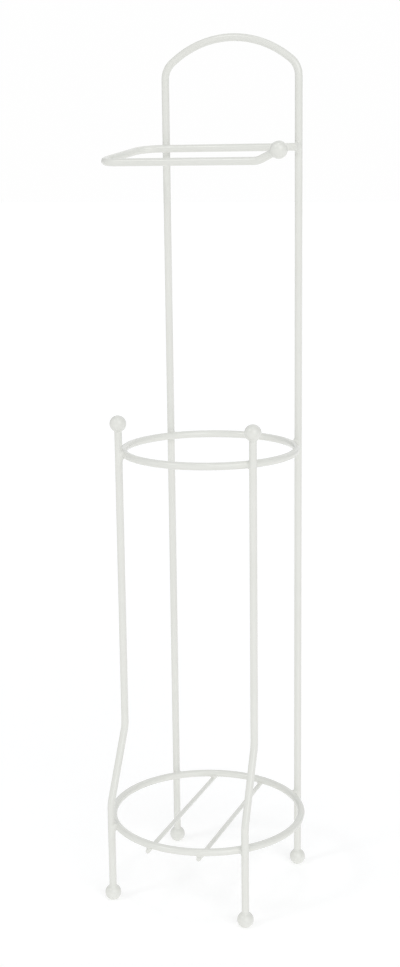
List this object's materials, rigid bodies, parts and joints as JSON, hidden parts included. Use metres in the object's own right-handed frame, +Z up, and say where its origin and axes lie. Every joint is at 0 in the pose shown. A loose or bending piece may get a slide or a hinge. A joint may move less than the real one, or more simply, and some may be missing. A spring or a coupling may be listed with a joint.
{
  "type": "toilet roll storage holder",
  "caption": "Free-standing wire stand with an arched rear frame, a guide ring over a base ring for spare rolls, and a hanging arm for the roll in use.",
  "frame": {"origin": "on the floor, on the axis of the base ring, which is also the middle of the whole object's box to within 2 mm", "axes": "+Z up, -Y towards the front, where the hanging arm and the two short legs are, +X towards the open end of the arm"},
  "size_m": [0.136, 0.1394, 0.5799],
  "materials": {
    "coated_wire": "satin off-white powder coat",
    "coated_thin_wire": "satin off-white powder coat",
    "coated_ball": "satin off-white powder coat",
    "coated_weld": "satin off-white powder coat, pooled in the corners"
  },
  "bodies": {
    "root": {"rear_arch_frame": "coated_wire", "front_left_leg": "coated_wire", "front_right_leg": "coated_wire", "guide_ring": "coated_wire", "base_ring": "coated_wire", "left_cross_wire": "coated_thin_wire", "right_cross_wire": "coated_thin_wire", "hanging_arm": "coated_wire", "arm_ball": "coated_ball", "left_finial_ball": "coated_ball", "right_finial_ball": "coated_ball", "rear_left_foot_ball": "coated_ball", "rear_right_foot_ball": "coated_ball", "front_left_foot_ball": "coated_ball", "front_right_foot_ball": "coated_ball", "guide_ring_welds": "coated_weld", "base_ring_welds": "coated_weld", "cross_wire_welds": "coated_weld", "arm_welds": "coated_weld"}
  },
  "joints": []
}
